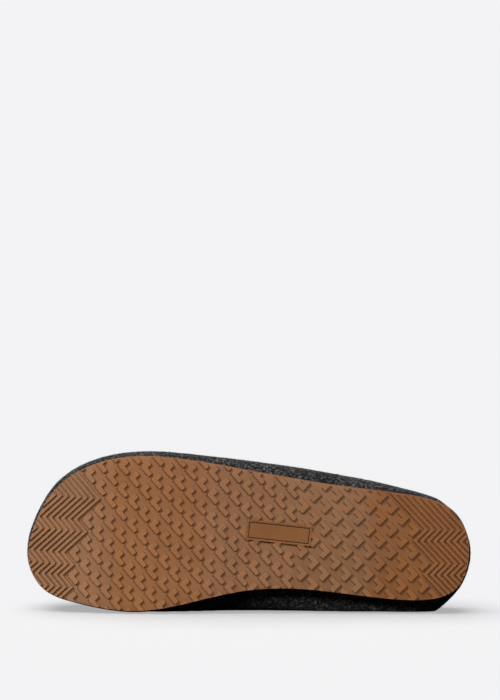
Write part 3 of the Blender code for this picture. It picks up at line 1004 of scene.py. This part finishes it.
def gum_rubber(looks):
    """Moulded gum rubber: paler lug tops over ground and walls that are darkened as painted shade, and
    a painted reflection whose tint changes along the sole.
    """
    made, tree, shader, where = bare_material("gum_rubber_moulded")
    grain = use_group(tree, moulded_grain(), where, "Grains", RUBBER_GRAINS)
    raised = add(tree, "ShaderNodeAttribute", attribute_name="raised").outputs["Fac"]
    plate = add(tree, "ShaderNodeAttribute", attribute_name="plate").outputs["Fac"]
    # Painted shade: the rubber darkens from the lug tops down the walls to the ground between the lugs.
    color = mix_color(tree, raised, looks.shaded_ground_color, looks.lug_color)
    # Painted reflection: a tint ramp along the floor.
    split = add(tree, "ShaderNodeSeparateXYZ")
    tree.links.new(where, split.inputs[0])
    wander = math_node(tree, "MULTIPLY", math_node(tree, "SUBTRACT", grain["Tone"], 0.5), 0.03)
    place = math_node(tree, "ADD", split.outputs["X"], wander)
    ramp = add(tree, "ShaderNodeValToRGB")
    ramp.color_ramp.interpolation = "EASE"
    stops = ramp.color_ramp.elements
    for number, tint in enumerate(REFLECTION_TINTS):
        stop = stops[number] if number < 2 else stops.new(1.0)
        stop.position = (tint.place + TINT_REACH) / (2 * TINT_REACH)
        stop.color = (*(c / TINT_SCALE for c in tint.color), 1.0)
    along = add(tree, "ShaderNodeMapRange")
    along.inputs["From Min"].default_value = -TINT_REACH
    along.inputs["From Max"].default_value = TINT_REACH
    tree.links.new(place, along.inputs["Value"])
    tree.links.new(along.outputs["Result"], ramp.inputs["Fac"])
    full = mix_color(tree, 1.0, ramp.outputs["Color"], (TINT_SCALE,) * 3, "MULTIPLY")
    color = mix_color(tree, 1.0, color, full, "MULTIPLY")
    color = mix_color(tree, plate, color, looks.plate_color)
    # Painted shade: the lug walls, from just above the ground to below the top edge, are darkened
    # towards black by up to 65%.
    above_ground = span(tree, raised, 0.24, 0.34)
    below_edge = span(tree, raised, 0.55, 0.8, 0.65, 0.0)
    painted_wall_shade = math_node(tree, "MULTIPLY", above_ground, below_edge)
    color = mix_color(tree, painted_wall_shade, color, (0.0, 0.0, 0.0))
    cloud = span(tree, grain["Tone"], 0.3, 0.7, 0.93, 1.06)
    speck = span(tree, grain["Grain"], 0.25, 0.75, 0.93, 1.07)
    color = toned(tree, color, math_node(tree, "MULTIPLY", cloud, speck))
    tree.links.new(color, shader.inputs["Base Color"])
    rough = span(tree, grain["Grain"], 0.2, 0.8, looks.gloss - 0.06, looks.gloss + 0.10)
    tree.links.new(rough, shader.inputs["Roughness"])
    shader.inputs["Specular IOR Level"].default_value = 0.25
    add_bump(tree, shader, grain["Grain"], 0.35, 0.00012)
    return made


def felt(name, dark, light, fibres):
    """Felt of two kinds of wool."""
    made, tree, shader, where = bare_material(name)
    wool = use_group(tree, wool_mix(), where, "Fibres", fibres)
    color = mix_color(tree, wool["Pale"], dark, light)
    color = toned(tree, color, span(tree, wool["Mottle"], 0.0, 1.0, 0.82, 1.18))
    tree.links.new(color, shader.inputs["Base Color"])
    tree.links.new(span(tree, wool["Pale"], 0.0, 1.0, 0.98, 0.88), shader.inputs["Roughness"])
    shader.inputs["Specular IOR Level"].default_value = 0.15
    shader.inputs["Sheen Weight"].default_value = FELT_SHEEN
    shader.inputs["Sheen Roughness"].default_value = 0.45
    shader.inputs["Sheen Tint"].default_value = (0.75, 0.75, 0.77, 1.0)
    add_bump(tree, shader, wool["Height"], 0.7, 0.0003)
    return made


def loose_wool(looks):
    """Single fibres, dark and pale, by their own attribute."""
    made, tree, shader, _ = bare_material("wool_loose_fibres")
    pale = add(tree, "ShaderNodeAttribute", attribute_name="pale").outputs["Fac"]
    color = mix_color(tree, pale, looks.dark_color, looks.light_color)
    tree.links.new(color, shader.inputs["Base Color"])
    shader.inputs["Roughness"].default_value = 0.9
    shader.inputs["Specular IOR Level"].default_value = 0.15
    return made


# Pieces


def outsole_shape(looks):
    """The moulded outsole in the flat."""
    thick, ground = looks.thick / MM, looks.lug_height / MM
    body = slab((1, 0, ground), (0, 0, thick))
    round_rims(body, *SOLE_RIMS)
    moats = tread_blocks(moat_outlines(), ground - MOAT_ABOVE, ground + MOAT_DEEP)
    body = combined(body, [(moats, "DIFFERENCE")])
    deep = ground + SINK
    foot = ground - LUG_FOOT
    edge_steps = ((LUG_SLOPE, foot - LUG_EDGE_RISE), *LUG_EDGE)
    ribs = tread_blocks(rib_outlines(), foot, deep, corner_round=RIB_ROUND, edge_steps=edge_steps)
    for shape in (body, ribs):
        slice_strips(shape, WAIST_FROM, TOE_END[0] - SOLE_ENDS)
    fore_sizes = (FORE_LONG_LEG, FORE_SHORT_LEG, FORE_LEG_WIDTH)
    heel_sizes = (HEEL_LONG_LEG, HEEL_SHORT_LEG, HEEL_LEG_WIDTH)
    fore = [
        angle_lug(tip, FORE.right, -FORE.left, *fore_sizes)
        for tip in lug_tips(FORE, TOE_ZIGZAG, 1)
    ]
    heel = [
        angle_lug(tip, -HEEL.right, HEEL.left, *heel_sizes)
        for tip in lug_tips(HEEL, HEEL_ZIGZAG, -1)
    ]
    lugs = [
        tread_blocks(outlines, foot, deep, corner_round=corner, sharp_corner=3, edge_steps=edge_steps)
        for outlines, corner in ((fore, FORE_ROUND), (heel, HEEL_ROUND))
    ]
    plate = blocks([list(plate_outline(0))], PLATE_TOP, deep, edge_steps=PLATE_EDGE)
    return gather([body, ribs, *lugs, plate])


def mark_outsole(bm, lug_height):
    """Keeps how far each point stands out of the ground, and which points are on the plate."""
    raised = bm.verts.layers.float.new("raised")
    plate = bm.verts.layers.float.new("plate")
    for v in bm.verts:
        v[raised] = min(max(1 - v.co.z / lug_height, 0.0), 1.0)
        inside = on_plate(v.co / MM, PLATE_SLACK)
        v[plate] = 1.0 if inside and v.co.z < lug_height * PLATE_STANDS else 0.0


class SLIPPER_OT_outsole(bpy.types.Operator):
    """Model the rubber outsole with its tread and its bare plate"""

    bl_idname = "slipper.outsole"
    bl_label = "Outsole"

    def execute(self, context):
        looks = context.scene.slipper_outsole
        bm = outsole_shape(looks)
        mark_outsole(bm, looks.lug_height)
        slice_strips(bm, WAIST_FROM, TOE_END[0] - SOLE_ENDS)
        lay_down(bm)
        shade(bm, RUBBER_SHARP_DEG)
        settle(bm, "rubber_outsole", "outsole", gum_rubber(looks))
        return {"FINISHED"}


def edge_share(along, across):
    """The share of the way round the sole edge that is nearest this point."""
    return int(np.argmin(np.linalg.norm(EDGE - np.array((along, across)), axis=1))) / len(EDGE)


def upper_place(sole_thick):
    """The function that places the felt's outer face."""
    count = len(UPPER)
    shares = [edge_share(r.foot_along, r.foot_across) for r in UPPER]
    shares[0] = 0.0
    lag = closed_spline([[s - i / count] for i, s in enumerate(shares)], even=True)
    tops = closed_spline([r[2:5] for r in UPPER], even=True)
    curves = closed_spline([r[5:9] for r in UPPER], even=True)
    widest = BELLY_LOW / (BELLY_LOW + BELLY_HIGH)
    peak = widest**BELLY_LOW * (1 - widest) ** BELLY_HIGH

    def place(share, t):
        number = share * count % count
        foot_share = number / count + float(lag(number)[0])
        flat = inset_edge(foot_share, FEATHER_INSET)
        foot = bent(flat[0], flat[1], sole_thick + CLEAR)
        top = Vector(tops(number))
        rise, reach, fall, belly = curves(number)
        s = 1 - t
        run = 3 * s * t * t * (1 - reach) + t**3
        climb = 3 * s * s * t * rise + 3 * s * t * t * (1 - fall) + t**3
        bulge = climb**BELLY_LOW * (1 - climb) ** BELLY_HIGH / peak
        out = edge_value(EDGE_OUT, foot_share)
        out = Vector((out[0], out[1], 0)) * float(belly) * bulge
        point = foot + out
        point.x += run * (top.x - foot.x)
        point.y += run * (top.y - foot.y)
        point.z += climb * (top.z - foot.z)
        return on_floor(point)

    return place


def on_floor(point):
    """A point of the upper, lifted where it would be under the floor."""
    return point + FLOOR_UP * max(FLOOR_AT - FLOOR_UP.dot(point), 0.0)


def upper_shape(looks, sole_thick):
    """The felt's outer face in the shoe's frame, with its soft unevenness."""
    bm = loft(upper_place(sole_thick), UPPER_COLUMNS, UPPER_RINGS)
    bm.normal_update()
    rims = {v for e in bm.edges if e.is_boundary for v in e.verts}
    for v in bm.verts:
        if v in rims:
            continue
        at = v.co / MM
        height = sum(share * noise.noise(at * fineness) for share, fineness in LUMP_SIZES)
        v.co = on_floor((v.co + v.normal * height * looks.lumps) / MM) * MM
    return bm


class SLIPPER_OT_upper(bpy.types.Operator):
    """Model the felt upper as one hollow wall with rounded cut edges"""

    bl_idname = "slipper.upper"
    bl_label = "Upper"

    def execute(self, context):
        looks = context.scene.slipper_felt
        bm = upper_shape(looks, context.scene.slipper_outsole.thick / MM)
        bmesh.ops.transform(bm, matrix=LIE, verts=bm.verts)
        shade(bm, FELT_SHARP_DEG)
        finish = felt("wool_felt_charcoal", looks.dark_color, looks.light_color, looks.fibre)
        upper = settle(bm, "felt_upper", "upper", finish)
        wall = upper.modifiers.new("felt_wall", "SOLIDIFY")
        wall.thickness = looks.wall
        wall.offset = -1
        wall.use_even_offset = True
        rim = upper.modifiers.new("soft_rims", "BEVEL")
        rim.limit_method = "ANGLE"
        rim.angle_limit = math.radians(RIM_SHARP_DEG)
        rim.width = looks.rim_round
        rim.segments = 3
        return {"FINISHED"}


def fibre_batch(looks, upper, chosen, rng):
    """Some loose fibres, each a thin tapered strand that lies close to the felt."""
    bm = bmesh.new()
    pale = bm.verts.layers.float.new("pale")
    for number in chosen:
        face = upper.polygons[number]
        normal = face.normal.copy()
        way = normal.orthogonal()
        way.rotate(Matrix.Rotation(rng.uniform(0, 2 * math.pi), 3, normal))
        lift = rng.uniform(*FUZZ_LIFT)
        way = way * math.cos(lift) + normal * math.sin(lift)
        length = looks.fuzz_length * rng.uniform(*FUZZ_SPREAD)
        corners = [upper.vertices[i].co for i in face.vertices]
        shares = rng.dirichlet(np.ones(len(corners)))
        foot = sum((c * float(w) for c, w in zip(corners, shares)), Vector())
        tone = rng.uniform(0, 1) ** 3
        if min(foot.z, (foot + way * length).z) < FUZZ_ABOVE:
            continue
        place = Matrix.Translation(foot + way * length * FUZZ_OUT)
        made = bmesh.ops.create_cone(
            bm,
            cap_ends=True,
            segments=3,
            radius1=FUZZ_THICK[0],
            radius2=FUZZ_THICK[1],
            depth=length,
            matrix=place @ way.to_track_quat("Z", "Y").to_matrix().to_4x4(),
        )
        for v in made["verts"]:
            v[pale] = tone
    return bm


class SLIPPER_OT_fuzz(bpy.types.Operator):
    """Scatter short loose fibres over the outside of the felt"""

    bl_idname = "slipper.fuzz"
    bl_label = "Loose fibres"

    def execute(self, context):
        looks = context.scene.slipper_felt
        upper = bpy.data.objects["felt_upper"].data
        rng = np.random.default_rng(FUZZ_SEED)
        areas = np.array([f.area for f in upper.polygons])
        chosen = rng.choice(len(areas), size=looks.fuzz_count, p=areas / areas.sum())
        batches = [
            fibre_batch(looks, upper, chosen[start : start + FUZZ_BATCH].tolist(), rng)
            for start in range(0, len(chosen), FUZZ_BATCH)
        ]
        settle(gather(batches), "felt_fuzz", None, loose_wool(looks))
        return {"FINISHED"}


class SLIPPER_OT_insole(bpy.types.Operator):
    """Model the insole that lies inside the upper"""

    bl_idname = "slipper.insole"
    bl_label = "Insole"

    def execute(self, context):
        looks = context.scene.slipper_insole
        low = context.scene.slipper_outsole.thick / MM + CLEAR
        inset = looks.inset / MM
        bm = slab((-1, inset, low), (-1, inset, low + looks.thick / MM), lean_at=insole_room)
        round_rims(bm, *INSOLE_RIMS)
        slice_strips(bm, INSOLE_ENDS, TOE_END[0] - INSOLE_ENDS)
        lay_down(bm)
        shade(bm, INSOLE_SHARP_DEG)
        finish = felt("footbed_felt_grey", looks.dark_color, looks.light_color, INSOLE_FIBRES)
        settle(bm, "felt_insole", "insole", finish)
        return {"FINISHED"}


# Stage


def floor_paper(looks):
    """Matt pale paper, lit from below too, that throws only part of its light back at the slipper."""
    made, tree, shader, _ = bare_material("pale_floor")
    path = add(tree, "ShaderNodeLightPath")
    dim = [c * looks.bounce for c in looks.floor_color]
    color = mix_color(tree, path.outputs["Is Camera Ray"], dim, looks.floor_color)
    tree.links.new(color, shader.inputs["Base Color"])
    shader.inputs["Roughness"].default_value = 1.0
    shader.inputs["Specular IOR Level"].default_value = 0.0
    shader.inputs["Emission Color"].default_value = (*looks.backdrop, 1.0)
    glow = math_node(tree, "MULTIPLY", path.outputs["Is Camera Ray"], looks.glow)
    tree.links.new(glow, shader.inputs["Emission Strength"])
    return made


def studio_air(looks):
    """Even light from all round; the camera sees the floor's own tone beyond the floor."""
    world = bpy.data.worlds.new("studio_air")
    bpy.context.scene.world = world
    world.use_nodes = True
    tree = world.node_tree
    tree.nodes.clear()
    fill = add(tree, "ShaderNodeBackground", Color=(1, 1, 1.01, 1), Strength=looks.fill)
    seen = add(tree, "ShaderNodeBackground", Color=(*looks.backdrop, 1), Strength=1.0)
    path = add(tree, "ShaderNodeLightPath")
    mixed = add(tree, "ShaderNodeMixShader")
    out = add(tree, "ShaderNodeOutputWorld")
    tree.links.new(path.outputs["Is Camera Ray"], mixed.inputs[0])
    tree.links.new(fill.outputs[0], mixed.inputs[1])
    tree.links.new(seen.outputs[0], mixed.inputs[2])
    tree.links.new(mixed.outputs[0], out.inputs[0])


def aim(thing, place, way):
    """Puts a light or a camera in its place and turns it to look this way."""
    thing.location = place
    thing.rotation_euler = way.to_track_quat("-Z", "Y").to_euler()


def soft_light(name, strength, spread, light_from, lit, glossy=True):
    """A broad distant light from a direction, on these objects alone."""
    data = bpy.data.lights.new(name, "SUN")
    data.energy = strength
    data.angle = spread
    made = bpy.data.objects.new(name, data)
    bpy.context.scene.collection.objects.link(made)
    way = Vector(light_from)
    aim(made, way.normalized() * LIGHT_FAR, -way)
    made.visible_glossy = glossy
    made.light_linking.receiver_collection = bpy.data.collections.new(f"lit_by_{name}")
    for thing in lit:
        made.light_linking.receiver_collection.objects.link(thing)


class SLIPPER_OT_stage(bpy.types.Operator):
    """Set up the pale floor, the soft studio light and the camera of the photograph"""

    bl_idname = "slipper.stage"
    bl_label = "Stage"

    def execute(self, context):
        looks = context.scene.slipper_stage
        scene = context.scene
        bm = bmesh.new()
        bmesh.ops.create_grid(bm, x_segments=2, y_segments=2, size=FLOOR_HALF)
        mesh = bpy.data.meshes.new("pale_floor")
        bm.to_mesh(mesh)
        bm.free()
        floor = bpy.data.objects.new("pale_floor", mesh)
        mesh.materials.append(floor_paper(looks))
        scene.collection.objects.link(floor)
        floor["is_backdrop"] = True
        studio_air(looks)
        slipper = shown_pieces()
        sole = bpy.data.objects["rubber_outsole"]
        soft_light("key", looks.key, looks.key_spread, looks.key_from, slipper)
        soft_light("back", looks.back, looks.top_spread, looks.back_from, slipper, glossy=False)
        soft_light("front", looks.front, looks.key_spread, looks.front_from, [sole])
        soft_light("top", looks.top, looks.top_spread, looks.top_from, [floor])
        data = bpy.data.cameras.new("camera")
        camera = bpy.data.objects.new("camera", data)
        scene.collection.objects.link(camera)
        middle = LIE @ (Vector(SOLE_MIDDLE) * MM)
        shown = PICTURE_SIZE[1] / PICTURE_SCALE * MM
        data.sensor_width = SENSOR
        data.lens = SENSOR * looks.distance / shown
        data.clip_end = SEE_FAR
        below = (PICTURE_MIDDLE[1] - PICTURE_SIZE[1] / 2) / PICTURE_SCALE * MM
        slope = looks.height_angle
        line = Vector((0, -math.cos(slope), math.sin(slope)))
        pitch = slope - math.atan2(below, looks.distance)
        aim(camera, middle + line * looks.distance, Vector((0, math.cos(pitch), -math.sin(pitch))))
        scene.camera = camera
        scene.view_settings.view_transform = "Standard"
        return {"FINISHED"}


class SLIPPER_PT_panel(bpy.types.Panel):
    """The pieces of the slipper and what can be changed on them"""

    bl_label = "Felt slipper"
    bl_idname = "SLIPPER_PT_panel"
    bl_space_type = "VIEW_3D"
    bl_region_type = "UI"
    bl_category = "Slipper"

    def draw(self, context):
        for operator, looks in STEPS:
            column = self.layout.column(align=True)
            column.operator(operator)
            values = getattr(context.scene, looks)
            for label in values.bl_rna.properties.keys():
                if label not in ("rna_type", "name"):
                    column.prop(values, label)


STEPS = (
    ("slipper.outsole", "slipper_outsole"),
    ("slipper.upper", "slipper_felt"),
    ("slipper.fuzz", "slipper_felt"),
    ("slipper.insole", "slipper_insole"),
    ("slipper.stage", "slipper_stage"),
)
LOOKS = (
    ("slipper_outsole", OutsoleLooks),
    ("slipper_felt", FeltLooks),
    ("slipper_insole", InsoleLooks),
    ("slipper_stage", StageLooks),
)
CLASSES = (
    *(kind for _, kind in LOOKS),
    SLIPPER_OT_outsole,
    SLIPPER_OT_upper,
    SLIPPER_OT_fuzz,
    SLIPPER_OT_insole,
    SLIPPER_OT_stage,
    SLIPPER_PT_panel,
)


def register():
    for kind in CLASSES:
        bpy.utils.register_class(kind)
    for label, kind in LOOKS:
        setattr(bpy.types.Scene, label, bpy.props.PointerProperty(type=kind))


def unregister():
    for label, _ in LOOKS:
        delattr(bpy.types.Scene, label)
    for kind in reversed(CLASSES):
        bpy.utils.unregister_class(kind)


def main():
    register()
    bpy.ops.slipper.outsole()
    bpy.ops.slipper.upper()
    bpy.ops.slipper.fuzz()
    bpy.ops.slipper.insole()
    bpy.ops.slipper.stage()
    bpy.context.view_layer.update()


if __name__ == "__main__":
    main()
